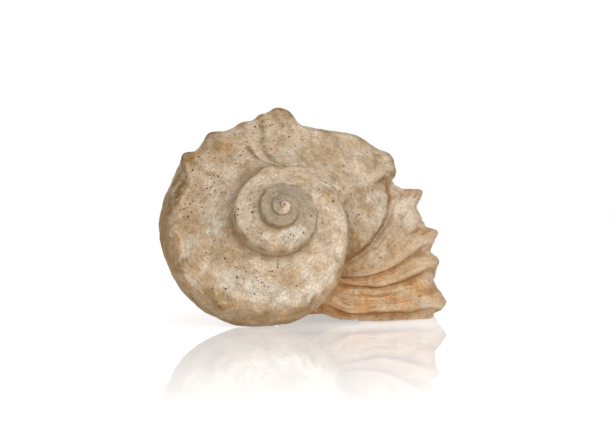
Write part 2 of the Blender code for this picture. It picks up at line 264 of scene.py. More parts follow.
world = bpy.data.worlds.new("white room")
bpy.context.scene.world = world
world.use_nodes = True
tree = world.node_tree
tree.nodes.clear()
ray = wire("LightPath")
direct = formula("MAXIMUM", ray.outputs["Is Camera Ray"], ray.outputs["Is Glossy Ray"])
direct = formula("MAXIMUM", direct, ray.outputs["Is Transmission Ray"])
strength = ramped(direct, 0.0, 1.0, ROOM_LIGHT, 1.0)
room = wire("Background", {"Color": WHITE, "Strength": strength})
wire("OutputWorld", {"Surface": room.outputs[0]})

for name, at, size, watts in LAMPS:
    lamp = bpy.data.lights.new(name, "AREA")
    lamp.size = size * MM
    lamp.energy = watts
    holder = bpy.data.objects.new(name, lamp)
    holder.location = Vector(at) * MM
    toward = Vector((0, 0, LAMPS_AIM * MM)) - holder.location
    holder.rotation_mode = "QUATERNION"
    holder.rotation_quaternion = toward.to_track_quat("-Z", "Y")
    holder.visible_camera = False
    bpy.context.scene.collection.objects.link(holder)

bpy.context.scene.view_settings.view_transform = "Standard"
print(len(LAMPS), "lamps")

# %% [markdown]
# ## How fast it grows
#
# A snail adds shell only at its lip, so the distance of the shoulder from the axis is a record
# of its whole life. A steady spiral would be one formula. This animal was less steady: it grew
# evenly for four turns, widened, stopped once, and then threw out a broad flaring lip. A short
# table of radius against growth angle holds that, and a curve that never overshoots joins it.


# %% Curves
def smooth_curve(x, knots):
    """Cubic through the knots that never overshoots."""
    xs = np.array([k[0] for k in knots], float)
    ys = np.array([k[1] for k in knots], float)
    d = np.diff(ys) / np.diff(xs)
    m = np.empty_like(ys)
    together = d[:-1] * d[1:]
    m[1:-1] = np.where(together > 0, 2 * together / (d[:-1] + d[1:] + 1e-12), 0.0)
    m[0] = d[0]
    m[-1] = d[-1]
    x = np.clip(x, xs[0], xs[-1])
    i = np.clip(np.searchsorted(xs, x, side="right") - 1, 0, len(xs) - 2)
    h = xs[i + 1] - xs[i]
    u = (x - xs[i]) / h
    return ((2 * u**3 - 3 * u**2 + 1) * ys[i] + (u**3 - 2 * u**2 + u) * h * m[i]
            + (3 * u**2 - 2 * u**3) * ys[i + 1] + (u**3 - u**2) * h * m[i + 1])


def step(x, a, b):
    """0 before a, 1 after b, smooth between."""
    u = np.clip((x - a) / (b - a), 0.0, 1.0)
    return u * u * (3 - 2 * u)


def hump(x, middle, width):
    return np.exp(-((x - middle) / width) ** 2)


# growth angle in degrees (0 = level on the +X side, clockwise seen from the tip), radius in mm
SHOULDER_RADIUS = [
    (-1890, 0.05), (-1710, 0.4), (-1530, 1.1), (-1440, 2.0), (-1350, 2.6), (-1260, 3.2), (-1170, 4.1),
    (-1080, 4.7), (-990, 5.5), (-900, 6.5), (-810, 9.0), (-720, 10.9),
    (-630, 12.0), (-540, 13.8), (-450, 17.3), (-360, 21.4), (-345, 21.7), (-330, 22.6), (-315, 23.8),
    (-300, 24.8), (-285, 26.4), (-262, 27.9), (-225, 30.5), (-180, 33.0), (-150, 35.0), (-135, 36.8),
    (-90, 39.6), (-76, 41.0), (-65, 43.6), (-50, 50.7), (-40, 51.4), (-33, 49.3), (-29, 47.0),
    (-22, 48.6), (-12, 51.8), (1, 52.2), (10, 54.4), (24, 58.2), (40, 60.5), (80, 66.0),
]
LOG_RADIUS = [(k[0], math.log(k[1])) for k in SHOULDER_RADIUS]


def shoulder_radius(phi):
    return np.exp(smooth_curve(phi, LOG_RADIUS))


for turn in range(-4, 1):
    print("turn", turn, "shoulder radius", round(float(shoulder_radius(np.array(turn * 360.0))), 1), "mm")

# %% [markdown]
# ## What one growth line looks like
#
# From the suture, where a whorl is stuck to the one before, the line runs out over a sloping
# ramp to the shoulder, down the bulging side, and in along the base to the tip of the canal.
# Place 0 is the suture, 1 the shoulder and 2 the canal tip, on every growth line alike.

# %% Profile
SHOULDER_FALL = 0.80          # shoulder distance below the tip over its radius
ATTACH = 0.42                 # place on the older side where a new whorl attaches
LIP_ATTACH = (0.13, -10, 55)  # how much lower down the lip attaches, and over which growth angles
RAMP_ARCH = 0.03              # fullness of the sloping ramp
WHORL_GROWTH = 2.2            # size ratio of one whorl to the one before
BASE_SIZE = 49.0              # size of the base at the lip
BASE_SIZE_AT = 20.0
SIDE_FORM = [                 # place below the shoulder, radius ratio, depth ratio
    (0.00, 1.000, 0.00), (0.15, 1.040, 0.12), (0.30, 1.075, 0.27),
    (0.45, 1.060, 0.43), (0.60, 0.950, 0.61), (0.72, 0.770, 0.78),
    (0.82, 0.530, 0.91), (0.90, 0.340, 1.03), (1.00, 0.220, 1.20),
]
CANAL_DEPTH = 99.0            # how far the canal tip is from the spire tip, along the axis
CANAL_DEPTH_AT = 24.0
CANAL_GROWTH = 1.25           # the canal lengthens slowly, so its end wraps round level
CANAL_WRAP = (-235.0, -165.0) # growth angles over which that end begins
CANAL_FROM = 0.6              # part of the way down the side where the canal begins
CANAL_BEND = 0.0042           # upward bend of the canal, per mm
CANAL_BEND_FROM = 56.0
SIDE_BULGE = 0.065            # extra fullness of the side, on the older half of the body whorl
BULGE_SPAN = (-345, -295, -150, -95)    # growth angles where it comes and goes
BULGE_END = 0.8               # part of the way to the canal tip where it ends
SHOULDER_ROUND = (0.05, 0.12) # how far the worn shoulder is rounded, and over what width


def side_profile(phi, y):
    """Radius and depth below the shoulder; y is 0 at the shoulder, 1 at the canal tip."""
    big = shoulder_radius(phi)
    fall = SHOULDER_FALL * big
    base = BASE_SIZE * WHORL_GROWTH ** ((phi - BASE_SIZE_AT) / 360.0)
    ratio = smooth_curve(y, [(k[0], k[1]) for k in SIDE_FORM])
    fuller = step(phi, *BULGE_SPAN[:2]) * (1 - step(phi, *BULGE_SPAN[2:]))
    ratio = ratio + SIDE_BULGE * fuller * np.sin(math.pi * np.clip(y / BULGE_END, 0, 1))
    depth = smooth_curve(y, [(k[0], k[2]) for k in SIDE_FORM])
    tip = CANAL_DEPTH * CANAL_GROWTH ** ((phi - CANAL_DEPTH_AT) / 360.0)
    own = (SHOULDER_FALL + SIDE_FORM[-1][2]) * base
    longer = (tip - own) * step(phi, *CANAL_WRAP) * step(y, CANAL_FROM, 1.0)
    return (ratio * (base + (big - base) * (1 - y)),
            fall + (SHOULDER_FALL * base - fall) * y + depth * base + longer)


def sharp_profile(phi, s):
    """Radius and depth at growth angle phi and place s, with a sharp shoulder."""
    lower, since, until = LIP_ATTACH
    start_r, start_a = side_profile(phi - 360, ATTACH + lower * step(phi, since, until))
    big = shoulder_radius(phi)
    x = np.clip(s, 0, 1)
    ramp_r = start_r + (big - start_r) * x
    ramp_a = (start_a + (SHOULDER_FALL * big - start_a) * x
              + RAMP_ARCH * big * np.sin(math.pi * x))
    side_r, side_a = side_profile(phi, np.clip(s - 1, 0, 1))
    return np.where(s <= 1, ramp_r, side_r), np.where(s <= 1, ramp_a, side_a)


def profile(phi, s):
    """The same with the shoulder rubbed round."""
    reach = SHOULDER_ROUND[0] * hump(s, 1.0, SHOULDER_ROUND[1])
    before_r, before_a = sharp_profile(phi, s - reach)
    here_r, here_a = sharp_profile(phi, s)
    after_r, after_a = sharp_profile(phi, s + reach)
    return (before_r + 2 * here_r + after_r) / 4, (before_a + 2 * here_a + after_a) / 4


def in_room(phi, r, a):
    """Point in the room, in millimetres."""
    turn = np.radians(phi)
    bend = CANAL_BEND * np.clip(a - CANAL_BEND_FROM, 0, None) ** 2
    down = r * np.sin(turn) - bend
    level = r * np.cos(turn)
    return TIP + a[..., None] * AXIS + level[..., None] * LEVEL + down[..., None] * DOWN


# %% [markdown]
# ## Growth lines and the lip
#
# A growth line doesn't run straight out from the axis: its inner end runs ahead, so that on
# the last whorl the lines sweep back from the suture like pleats. The last line is the lip,
# and the shell lies on it, so there the lines turn into the line where the surface meets the
# floor.

# %% Growth lines
LINE_SWEEP = [(-1500, 30), (-400, 42), (-60, 46), (-32, 54), (0, 36), (8, 32), (19, 34), (60, 36)]
LINE_BOW = 1.4
REACH_SEARCH = (-60, 120, 0.25)      # growth angles searched for the floor, and their step
LIP_REACH = [(0, 74), (0.1, 57), (0.2, 49.5), (0.3, 44.5), (0.4, 40.8), (0.5, 39), (1, 60)]
LIP_SETTLE = (17.0, 24.5)     # growth over which the lines turn into the lip
LAST_LINE = LIP_SETTLE[1]
PAST_FADE = (0.3, 0.6)        # places between which growth past the lip stops turning back
LIP_DROP = (12.0, 24.5)       # growth over which its raised inner end comes down to the floor
LIP_ARCH = 1.2                # mm that it still stays above the floor


def meets_floor(angles, heights):
    """Growth angle at which a row of heights first comes down through the floor, or None."""
    through = np.where((heights[:-1] > 0) & (heights[1:] <= 0))[0]
    if not len(through):
        return None
    i = through[0]
    return angles[i] + (angles[i + 1] - angles[i]) * heights[i] / (heights[i] - heights[i + 1])


def lip_angles(s):
    """Growth angle at which each place of the profile meets the floor, and the height left there."""
    out = []
    phi = np.arange(*REACH_SEARCH)
    for v in s:
        z = in_room(phi, *sharp_profile(phi, np.full_like(phi, v)))[:, 2]
        reach = smooth_curve(np.array([v]), LIP_REACH)[0]
        meets = meets_floor(phi, z)
        if meets is not None:
            reach = min(meets, reach)
        out.append((reach, np.interp(reach, phi, z)))
    return np.array(out).T


def line_angle(t, s, lip):
    """Growth angle on growth line t at place s."""
    x = np.clip(s, 0, 1)
    sweep = smooth_curve(t, LINE_SWEEP) * (1 - x) ** LINE_BOW
    w = step(t, *LIP_SETTLE)
    past = np.clip(t - LAST_LINE, 0, None) * (1 - step(x, *PAST_FADE))
    return t + sweep * (1 - w) + (lip - LAST_LINE) * w - past


# %% [markdown]
# ## Nodules, folds and the old lip
#
# The big relief is what tells this shell from any other: one strong blunt nodule at the top,
# weak ones along the shoulder, a healed crease, and the place where growth stopped and later
# started again from underneath. After it come four scaly folds. Each rises slowly, ends in a
# spike on the shoulder, and breaks off over the next one, so its edge hangs over a dark gap.

# %% Big relief
NODULES = [                   # growth angle, height in mm, half width in degrees
    (-37, 1.8, 5), (-86, 6.1, 7), (-80, 1.2, 3), (-94, 1.8, 3), (-102, 2.5, 7), (-119, 3.4, 7),
    (-136, 3.3, 5), (-165, 0.6, 7), (-202, 1.9, 7), (-233, 2.6, 8), (-262, 1.2, 8),
    (-289, 1.4, 7), (-323, 1.4, 8), (-349, 1.3, 7), (-390, 1.6, 9),
    (-427, 1.7, 9), (-460, 1.4, 10),
]
NODULE_REACH = (0.34, 0.16)   # half width on the ramp and on the side, in places
NODULE_LEAN = 0.2             # part of its height by which a nodule leans to the tip
SPIRE_NODULES = (30.0, 0.065) # degrees between the nodules of the spire, and height over radius
SPIRE_SPAN = (-520, -470)     # growth angles over which they end
FOLDS = [                     # where it starts to rise, where it breaks off, lift in mm
    (-29, -15.5, 0.4), (-12, -1.3, 1.6), (1, 7.8, 1.7), (11, 20.2, 1.8),
]
KNOBS = [                     # growth angle, height in mm, half width in degrees
    (-19.6, 5.1, 2.6), (-4.4, 3.6, 2.3), (5.0, 2.9, 2.0), (18.0, 4.1, 2.6),
]
KNOB_REACH = (0.20, 0.15)     # half width on the ramp and on the side, in places
FOLD_RISE = 1.4               # how late a fold rises
FOLD_DROP = 0.9               # degrees over which a fold falls away
FOLD_HANG = 1.1               # degrees by which its edge hangs over
FOLD_AT_SUTURE = 0.35         # part of its lift that a fold has at the suture
FOLD_FULL_FROM = 0.35         # place from which it has all of it
FOLD_FADE = (2.2, 0.15)       # how fast it fades down the side, and what is left
FOLD_DIP = (0.45, 0.12)       # part by which it is lower under its spike, and how wide that is
EDGE_WIDE = 1.0               # half width of an overhanging edge, in degrees
OLD_LIP = -31.5               # where growth once stopped and started again
OLD_LIP_WIDE = 5.0            # degrees over which the old lip rises
OLD_LIP_DROP = 0.7            # degrees over which it falls away
OLD_LIP_LIFT = 1.5
OLD_LIP_HANG = 1.2
OLD_LIP_HANG_FROM = (0.05, 0.3)      # places between which its overhang begins
OLD_LIP_SINK = 1.9            # how far the new growth starts under it
OLD_LIP_SINK_OUT = (0.5, 0.4, 1.0)   # part of that which is lost, and between which places
OLD_LIP_HEAL = (2.0, 10.0)    # degrees after it over which the new growth comes up
CREASE = (-110, 2.2, 1.0)     # growth line, half width and depth in mm of a healed crease
CREASE_BEND = (13.0, 0.25, 0.3)      # degrees that it bends back, at which place, how wide
CREASE_END = (0.5, 0.8)       # places between which it fades


def relief(t, s, phi):
    """Extra radius, lift and overhang in degrees of nodules, folds and steps."""
    out = np.zeros_like(phi)
    lift = np.zeros_like(phi)
    hang = np.zeros_like(phi)
    near = hump(s, 1.0, np.where(s < 1, *NODULE_REACH))
    for at, high, wide in NODULES:
        out = out + high * near * hump(phi, at, wide)
    apart, high = SPIRE_NODULES
    wave = 0.5 + 0.5 * np.cos(2 * math.pi * phi / apart)
    out = out + high * shoulder_radius(phi) * near * wave * (1 - step(phi, *SPIRE_SPAN))
    near = hump(s, 1.0, np.where(s < 1, *KNOB_REACH))
    for at, high, wide in KNOBS:
        out = out + high * near * hump(phi, at, wide)
    inner = FOLD_AT_SUTURE + (1 - FOLD_AT_SUTURE) * step(s, 0.0, FOLD_FULL_FROM)
    outer = np.clip(1 - (s - 1) * FOLD_FADE[0], FOLD_FADE[1], 1)
    spread = np.where(s < 1, inner, outer) * (1 - FOLD_DIP[0] * hump(s, 1.0, FOLD_DIP[1]))
    for start, crest, high in FOLDS:
        falling = 1 - step(t, crest, crest + FOLD_DROP)
        lift = lift + high * np.clip((t - start) / (crest - start), 0, 1) ** FOLD_RISE * falling * spread
        hang = hang + FOLD_HANG * hump(t, crest, EDGE_WIDE) * spread * (high > 1)
    fallen = step(t, OLD_LIP, OLD_LIP + OLD_LIP_DROP)
    old = np.where(t <= OLD_LIP, hump(t, OLD_LIP, OLD_LIP_WIDE), 1 - fallen)
    lift = lift + OLD_LIP_LIFT * old * spread
    hang = hang + OLD_LIP_HANG * hump(t, OLD_LIP, EDGE_WIDE) * spread * step(s, *OLD_LIP_HANG_FROM)
    sink = fallen * (1 - step(t - OLD_LIP, *OLD_LIP_HEAL))
    lost, since, until = OLD_LIP_SINK_OUT
    lift = lift - OLD_LIP_SINK * sink * np.where(s < 1, 1 - lost * step(s, since, until), spread)
    at, wide, deep = CREASE
    bend, middle, bend_wide = CREASE_BEND
    groove = hump(t, at - bend * hump(s, middle, bend_wide), wide) * (1 - step(s, *CREASE_END)) * (s < 1)
    return out, lift - deep * groove, hang


print(len(NODULES), "nodules,", len(FOLDS), "folds,", len(KNOBS), "knobs")

# %% [markdown]
# ## Grain: chance that is the same every time
#
# Wear, growth lines and dirt are irregular, but the script has to give the same shell on each
# run. Numbers hashed from the corners of a lattice, blended smoothly, give lumps of any size
# in any direction with no random state at all.


# %% Grain
def grain(points, size, seed):
    """Smooth lumps from -1 to 1; size is their width in mm, one number or one for each axis."""
    q = points / np.asarray(size, float)
    cell = np.floor(q).astype(np.int64)
    u = q - cell
    u = u * u * (3 - 2 * u)
    total = np.zeros(q.shape[:-1])
    for corner_x in (0, 1):
        for corner_y in (0, 1):
            for corner_z in (0, 1):
                key = ((cell[..., 0] + corner_x) * 73856093 ^ (cell[..., 1] + corner_y) * 19349663
                       ^ (cell[..., 2] + corner_z) * 83492791 ^ seed * 49979687)
                key = ((key ^ (key >> 13)) * 1274126177) & 0x7FFFFFFF
                key = (key ^ (key >> 16)) & 65535
                weight = ((u[..., 0] if corner_x else 1 - u[..., 0])
                          * (u[..., 1] if corner_y else 1 - u[..., 1])
                          * (u[..., 2] if corner_z else 1 - u[..., 2]))
                total += weight * (key / 32767.5 - 1)
    return total


# %% [markdown]
# ## Fine relief
#
# Close up, four things cross on the shell. Growth lines run with the lip, faint on the old
# whorls and coarse on the folds, where thin lamellae stand between them. Thin cords run round
# with the spiral. And the whole is worn into soft, shallow dents. All are real relief here, a
# twentieth to half a millimetre high, because they catch the light along the shell's edge as
# well as on its face.

# %% Fine relief
WEAR = [(11.0, 0.46), (4.6, 0.28), (2.0, 0.13), (1.0, 0.06)]    # width and height of the dents, mm
LINES = [(3.4, 13.0, 0.07), (1.6, 8.0, 0.04)]       # spacing, length and height of growth lines, mm
FOLD_LINES = [(2.2, 26.0, 0.28), (1.1, 18.0, 0.18)]    # the same on the folds
LAMELLAE = [                  # growth line, height in mm
    (-26.5, 0.30), (-23.4, 0.42), (-20.0, 0.25), (-12.8, 0.30), (-9.2, 0.40), (-5.6, 0.30),
    (2.6, 0.35), (4.9, 0.25), (11.0, 0.35), (13.6, 0.45), (16.4, 0.35), (22.4, 0.40),
]
LAMELLA_RISE = 2.4            # degrees over which one rises
LAMELLA_DROP = 0.45           # degrees over which it falls away
LAMELLA_GAPS = (8.0, -0.35, 0.25)    # mm from gap to gap, and the levels of grain where one begins and ends
LAMELLA_END = (1.2, 1.6)      # places between which it fades
WAVER = [(9.0, 0.9), (3.2, 0.45)]    # width in mm and size in degrees of the folds' ragged course
WAVER_FROM = (-6, 2)          # degrees from the old lip between which it begins
WAVER_UNTIL = (-3, -1)        # degrees from the last line between which it ends
CORDS_ON_RAMP = 15
CORDS_ON_SIDE = 34
CORD_HEIGHT = 0.055           # mm
FOLD_CORD_HEIGHT = 0.10
CORD_BREAKS = (9.0, 5.0, 1.0) # mm, size of the stretches where the cords are rubbed away
CORD_WANDER = (14.0, 9.0, 1.0)       # mm, size of the bends in their course
CORD_STRAY = 0.30             # how far they bend, in parts of their spacing
FULL_RELIEF_AT = 30.0         # mm, shoulder radius from which the relief is full
LEAST_RELIEF = 0.25           # part of it that the spire tip has


def waver(t, points):
    """How far the ragged edges of the folds stray from their growth lines, in degrees."""
    begins = step(t - OLD_LIP, *WAVER_FROM)
    ends = step(t - LAST_LINE, *WAVER_UNTIL)
    stray = sum(size * grain(points, wide, 21 + k) for k, (wide, size) in enumerate(WAVER))
    return begins * (1 - ends) * stray


def fine_relief(t, s, points, along, across):
    """Small lift in mm; along and across are distances on the surface in mm."""
    worn = sum(high * grain(points, wide, 11 + k) for k, (wide, high) in enumerate(WEAR))
    sheet = np.stack([along, across, np.zeros_like(along)], axis=-1)
    young = step(t, OLD_LIP - 1, OLD_LIP + 3)
    small = np.clip(shoulder_radius(t) / FULL_RELIEF_AT, LEAST_RELIEF, 1.0)
    lines = sum(high * grain(sheet, (wide, long, 1.0), 31 + k) for k, (wide, long, high) in enumerate(LINES))
    coarse = sum(high * (1 - 2 * np.abs(grain(sheet, (wide, long, 1.0), 41 + k)))
                 for k, (wide, long, high) in enumerate(FOLD_LINES))
    count = np.where(s < 1, CORDS_ON_RAMP * s, CORDS_ON_RAMP + CORDS_ON_SIDE * (s - 1))
    fade = 0.55 + 0.45 * grain(sheet, CORD_BREAKS, 51)
    wander = CORD_STRAY * grain(sheet, CORD_WANDER, 53)
    cords = np.cos(2 * math.pi * (count + wander)) * np.clip(fade, 0, 1)
    height = CORD_HEIGHT * (1 - young) + FOLD_CORD_HEIGHT * young
    ragged = t + waver(t, points)
    apart, gone, whole = LAMELLA_GAPS
    scales = np.zeros_like(t)
    for k, (line, high) in enumerate(LAMELLAE):
        rise = np.clip((ragged - line) / LAMELLA_RISE + 1, 0, 1)
        falling = 1 - step(ragged, line, line + LAMELLA_DROP)
        scales = scales + high * (rise * falling) * step(grain(points, apart, 91 + k), gone, whole)
    scales = scales * (1 - step(s, *LAMELLA_END))
    return small * (worn + lines * (1 - young) + coarse * young + height * cords) + scales * young


print(len(LAMELLAE), "lamellae,", CORDS_ON_RAMP + CORDS_ON_SIDE, "cords")

# %% [markdown]
# ## The skin as one grid
#
# Growth lines are the columns of the grid and places on the profile are its rows. Columns
# stand closer where a fold breaks off, because an edge is only as sharp as the grid under it.
# The older whorls need rows only as far as the next whorl covers them.

# %% Columns and rows
FIRST_LINE = -1880.0
LINE_GAP = [                  # growth line, mm between columns
    (-1880, 0.10), (-1500, 0.45), (-520, 0.62), (-120, 0.62), (-45, 0.5), (-34, 0.34), (25, 0.34),
]
MOST_GAP = 6.0                # degrees between columns at most
EDGE_GAP = 0.16               # degrees between columns at a broken edge
EDGE_FINE = 1.4               # degrees on each side that are this fine
COVERED_FROM = -505.0         # older lines than this are covered below the place COVERED_BELOW
COVERED_BELOW = 1.48
ROWS = [(0.0, 0.08, 6), (0.08, 0.9, 34), (0.9, 1.12, 16), (1.12, 1.48, 22), (1.48, 2.0, 34)]


def growth_columns():
    """Growth lines from the spire tip to the lip, evenly spaced on the surface."""
    edges = [fold[1] for fold in FOLDS] + [OLD_LIP]
    lines = [FIRST_LINE]
    while lines[-1] < LAST_LINE:
        t = lines[-1]
        gap = float(smooth_curve(np.array(t), LINE_GAP))
        degrees = min(math.degrees(gap / float(shoulder_radius(np.array(t)))), MOST_GAP)
        for edge in edges:
            if edge - EDGE_FINE <= t <= edge + EDGE_FINE:
                degrees = EDGE_GAP
            elif t < edge - EDGE_FINE < t + degrees:
                degrees = edge - EDGE_FINE - t + 0.001
        lines.append(t + degrees)
    lines[-1] = LAST_LINE
    return np.array(lines)


def rows_of(parts):
    """Places on the profile, in parts that each have their own fineness."""
    return np.concatenate([np.linspace(a, b, n, endpoint=False) for a, b, n in parts] + [[2.0]])


def for_grid(lip, t):
    """The lip's angles and heights, repeated for every column of a grid."""
    return np.broadcast_to(lip[:, None, :], (2, *t.shape))


columns = growth_columns()
places = rows_of(ROWS)
print(len(columns), "columns", len(places), "rows")

# %% [markdown]
# ## From growth to surface
#
# The function below is the whole shell in a few lines: where the growth line is, what the
# profile is there, how far the relief pushes it out, and where that is in the room. The
# same function pushed in by the wall's thickness gives the inside.

# %% Surface
PLACE_STEP = 0.02             # step for the direction of the profile
INNER_RELIEF = 0.6            # part of the outer relief that shows on the lining
INNER_LEAST = 0.02            # mm, least radius of any point
LIP_ARCH_FROM = 0.25          # place from which the lip comes down fully


def surface(t, s, lip, inset=0.0, fine=0.0, stray=0.0):
    """Points in the room for growth lines t and places s; lip holds angles and heights."""
    angle, left = lip
    phi = line_angle(t, s, angle)
    out, lift, hang = relief(t + stray, s, phi)
    r, a = profile(phi, s)
    r0, a0 = profile(phi, np.clip(s - PLACE_STEP, 0, 2))
    r1, a1 = profile(phi, np.clip(s + PLACE_STEP, 0, 2))
    size = np.hypot(r1 - r0, a1 - a0) + 1e-9
    push = lift + fine - inset
    shown = out * INNER_RELIEF if inset else out
    hang = 0.0 if inset else hang
    radius = np.maximum(r + shown + (a1 - a0) / size * push, INNER_LEAST)
    points = in_room(phi + hang, radius, a - (r1 - r0) / size * push - NODULE_LEAN * out)
    drop = np.clip(left - LIP_ARCH, 0, None) * step(t, *LIP_DROP) * step(s, 0.0, LIP_ARCH_FROM)
    points[..., 2] -= drop
    return points


def on_floor(points, soft=0.5):
    """Whatever would reach below the floor lies on it, rubbed flat over soft mm."""
    z = points[..., 2]
    points[..., 2] = np.where(z > soft, z, soft * np.exp(np.minimum(z, soft) / soft - 1))
    return points


T, S = np.meshgrid(columns, places, indexing="ij")
LIP = for_grid(lip_angles(places), T)
smooth_skin = surface(T, S, LIP)
along = np.concatenate([[0], np.cumsum(np.radians(np.diff(columns)) * shoulder_radius(columns[:-1]))])
along = np.broadcast_to(along[:, None], T.shape)
row_step = np.linalg.norm(np.diff(smooth_skin, axis=1), axis=2)
across = np.concatenate([np.zeros((len(columns), 1)), np.cumsum(row_step, axis=1)], axis=1)
at_shoulder = np.argmin(np.abs(places - 1.0))
across = across - across[:, at_shoulder:at_shoulder + 1]
stray = waver(T, smooth_skin)
fine = fine_relief(T, S, smooth_skin, along, across) * step(S, 0.0, 0.05)
skin = on_floor(surface(T, S, LIP, fine=fine, stray=stray))
print("skin from", skin.reshape(-1, 3).min(0).round(1), "to", skin.reshape(-1, 3).max(0).round(1))

# %% [markdown]
# ## Turning a grid into a mesh
#
# Faces are written as whole arrays, which is far quicker than adding them one at a time. What
# the finish needs to know about a point, such as how deep it lies in a crevice, travels with
# the mesh as named attributes.


# %% Mesh helper
def grid_piece(name, points, marks, keep=None):
    """Piece from a grid (columns, rows, 3) in mm, without the faces whose keep is False."""
    n_columns, n_rows, _ = points.shape
    index = np.arange(n_columns * n_rows).reshape(n_columns, n_rows)
    quads = np.stack([index[:-1, :-1], index[:-1, 1:], index[1:, 1:], index[1:, :-1]], axis=-1)
    quads = quads.reshape(-1, 4) if keep is None else quads[keep].reshape(-1, 4)
    used = np.unique(quads)
    number = np.full(n_columns * n_rows, -1)
    number[used] = np.arange(len(used))
    quads = number[quads]
    mesh = bpy.data.meshes.new(name)
    mesh.vertices.add(len(used))
    mesh.vertices.foreach_set("co", (points.reshape(-1, 3)[used] * MM).ravel())
    mesh.loops.add(quads.size)
    mesh.loops.foreach_set("vertex_index", quads.ravel().astype(np.int32))
    mesh.polygons.add(len(quads))
    mesh.polygons.foreach_set("loop_start", np.arange(0, quads.size, 4, dtype=np.int32))
    mesh.update(calc_edges=True)
    mesh.validate()
    for label, values in marks.items():
        flat = values.reshape(n_columns * n_rows, -1)[used].astype(np.float32)
        kind, slot = ("FLOAT", "value") if flat.shape[1] == 1 else ("FLOAT_VECTOR", "vector")
        mesh.attributes.new(label, kind, "POINT").data.foreach_set(slot, flat.ravel())
    mesh.shade_smooth()
    piece = bpy.data.objects.new(name, mesh)
    bpy.context.scene.collection.objects.link(piece)
    print(name, len(mesh.polygons) * 2, "triangles")
    return piece


def hollowness(points, reach):
    """How far each point lies below its neighbours, in mm, over a few grid steps."""
    mean = sum(np.roll(points, shift, axis) for shift in (-reach, reach) for axis in (0, 1)) / 4
    away = mean - points
    du = np.roll(points, -1, axis=0) - np.roll(points, 1, axis=0)
    dv = np.roll(points, -1, axis=1) - np.roll(points, 1, axis=1)
    normal = np.cross(dv, du)
    normal /= np.linalg.norm(normal, axis=2, keepdims=True) + 1e-9
    depth = np.sum(away * normal, axis=2)
    depth[:reach] = depth[-reach:] = 0
    depth[:, :reach] = depth[:, -reach:] = 0
    return depth


# %% [markdown]
# ## What the finish has to know
#
# Colour on an old shell follows its history. Dirt stays in crevices and along the suture, the
# youngest part keeps its orange, the spire is greyest because it is oldest, and ridges are
# rubbed pale. Shade is painted in as well, into the hollows, the suture, the gaps under the
# overhanging edges and the side below the shoulder, and painted highlights go on the ridges and
# fold edges. Each of these is one number from 0 to 1 on every point.

# %% Stained and bored areas
# growth angle, place, half width in degrees, half width in places, strength
DIRT_SPOTS = [
    (-153, 0.97, 9, 0.11, 1.0), (-147, 1.10, 6, 0.12, 0.9), (-126, 0.97, 5, 0.08, 0.55),
    (8, 0.13, 5, 0.035, 0.8), (13, 0.05, 12, 0.04, 0.8), (-160, 0.96, 6, 0.08, 0.9),
    (-118, 0.93, 4, 0.09, 0.6), (-141, 1.02, 4, 0.07, 0.8), (-224, 1.00, 5, 0.07, 0.6),
    (-196, 1.10, 12, 0.10, 0.55), (-248, 1.12, 22, 0.10, 0.45), (-95, 0.10, 13, 0.08, 0.7),
    (-118, 0.16, 9, 0.10, 0.5), (-455, 0.97, 14, 0.10, 0.45), (13, 0.06, 10, 0.05, 0.6),
    (-172, 1.22, 22, 0.12, 0.6), (-4, 0.16, 8, 0.07, 0.4), (-163, 1.06, 6, 0.10, 0.9),
    (-283, 1.12, 12, 0.08, 0.5), (-330, 1.03, 9, 0.07, 0.4),
]
# ochre stains; those on the side below the shoulder, past place 1, also stand in for painted shade there
OCHRE_SPOTS = [
    (-120, 0.72, 14, 0.16, 0.9), (-137, 0.93, 9, 0.14, 1.0), (-208, 0.80, 14, 0.24, 0.8),
    (-186, 1.02, 8, 0.12, 1.0), (-233, 0.95, 16, 0.14, 0.8), (-168, 0.55, 18, 0.22, 0.5),
    (-82, 0.80, 10, 0.20, 0.6), (-270, 1.15, 24, 0.16, 0.7), (-60, 0.55, 14, 0.22, 0.5),
    (-215, 0.32, 22, 0.14, 0.7), (-300, 1.05, 10, 0.10, 0.6), (-190, 1.25, 34, 0.22, 0.8),
    (-175, 0.86, 13, 0.15, 0.8), (-110, 0.30, 12, 0.12, 0.8), (12, 0.14, 15, 0.13, 1.0),
    (36, 0.30, 8, 0.16, 1.0), (-150, 0.74, 10, 0.16, 0.7), (-92, 0.52, 8, 0.16, 0.6),
    (-255, 0.98, 12, 0.12, 0.6),
]
PALE_SPOTS = [
    (-186, 0.90, 8, 0.14, 0.8), (-177, 0.40, 20, 0.18, 0.9), (-255, 0.62, 26, 0.22, 0.9),
    (-285, 0.72, 16, 0.22, 1.0), (-300, 0.95, 14, 0.12, 0.8), (-228, 0.60, 12, 0.14, 0.6),
    (-391, 0.97, 10, 0.12, 1.0), (-632, 0.45, 46, 0.45, 1.0), (-100, 0.55, 12, 0.20, 0.5),
    (-345, 0.98, 8, 0.14, 0.8), (-216, 0.76, 12, 0.14, 0.7), (-14, 0.60, 10, 0.24, 0.9),
    (16, 0.55, 5, 0.10, 0.8),
]
BORED_SPOTS = [
    (-620, 0.60, 60, 0.55, 1.0), (-520, 0.60, 40, 0.50, 0.8), (-235, 0.38, 40, 0.28, 1.0),
    (-150, 0.60, 30, 0.40, 0.8), (-100, 0.75, 36, 0.45, 0.9), (-196, 0.50, 22, 0.30, 0.6),
    (-232, 0.92, 12, 0.14, 0.8), (-155, 1.02, 12, 0.14, 0.9), (-390, 0.90, 14, 0.20, 0.8),
    (-25, 0.20, 18, 0.14, 0.8), (-50, 0.40, 16, 0.25, 0.5),
]
print(len(DIRT_SPOTS), "dirty,", len(OCHRE_SPOTS), "ochre,", len(PALE_SPOTS), "pale areas")

